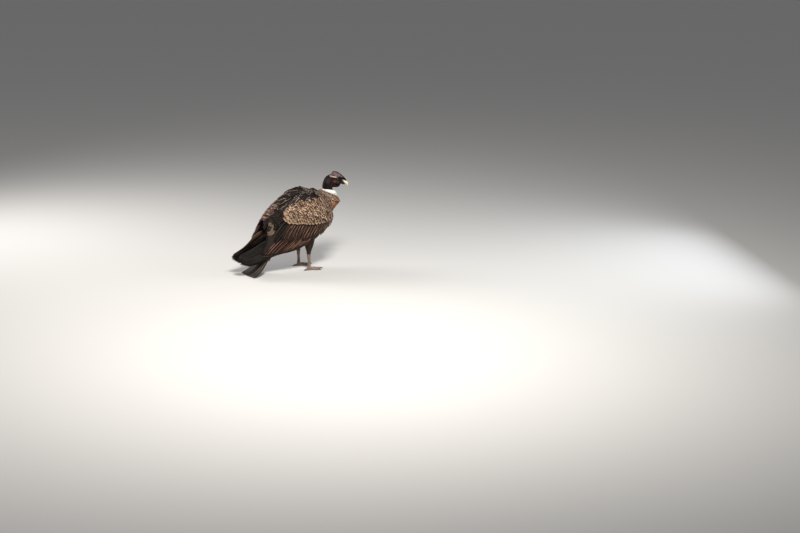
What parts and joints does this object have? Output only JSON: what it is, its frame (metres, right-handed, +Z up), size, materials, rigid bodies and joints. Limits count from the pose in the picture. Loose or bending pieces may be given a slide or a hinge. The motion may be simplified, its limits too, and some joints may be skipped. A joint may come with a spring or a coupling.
{
  "type": "andean condor",
  "caption": "Life-size still model of a young male condor standing on both feet, wings folded, tail tip on the floor.",
  "frame": {"origin": "middle of the model's footprint, at floor level", "axes": "+X forward, the way the breast faces; +Y the bird's left; +Z up"},
  "size_m": [1.0484, 0.3992, 0.7929],
  "materials": {
    "feathers_brown": "matt overlapping body and wing feathers",
    "feathers_dark": "matt blackish brown tail and leg feathers",
    "down_white": "soft matt white down",
    "bare_skin": "dark wrinkled bare skin",
    "comb_skin": "folded fleshy skin",
    "leg_skin": "scaly greyish skin",
    "horn_dark": "dull dark horn",
    "horn_pale": "smooth ivory horn",
    "eye": "wet glossy dark brown eye"
  },
  "bodies": {
    "root": {"bill_lower": "horn_dark", "bill_upper": "horn_pale", "claw_hind_left": "horn_dark", "claw_hind_right": "horn_dark", "claw_inner_left": "horn_dark", "claw_inner_right": "horn_dark", "claw_middle_left": "horn_dark", "claw_middle_right": "horn_dark", "claw_outer_left": "horn_dark", "claw_outer_right": "horn_dark", "comb": "comb_skin", "eye_left": "eye", "eye_right": "eye", "foot_left": "leg_skin", "foot_right": "leg_skin", "head": "bare_skin", "neck": "bare_skin", "ruff": "down_white", "shank_left": "leg_skin", "shank_right": "leg_skin", "tail": "feathers_dark", "thigh_left": "feathers_dark", "thigh_right": "feathers_dark", "torso": "feathers_brown", "wing_left": "feathers_brown", "wing_right": "feathers_brown"}
  },
  "joints": []
}
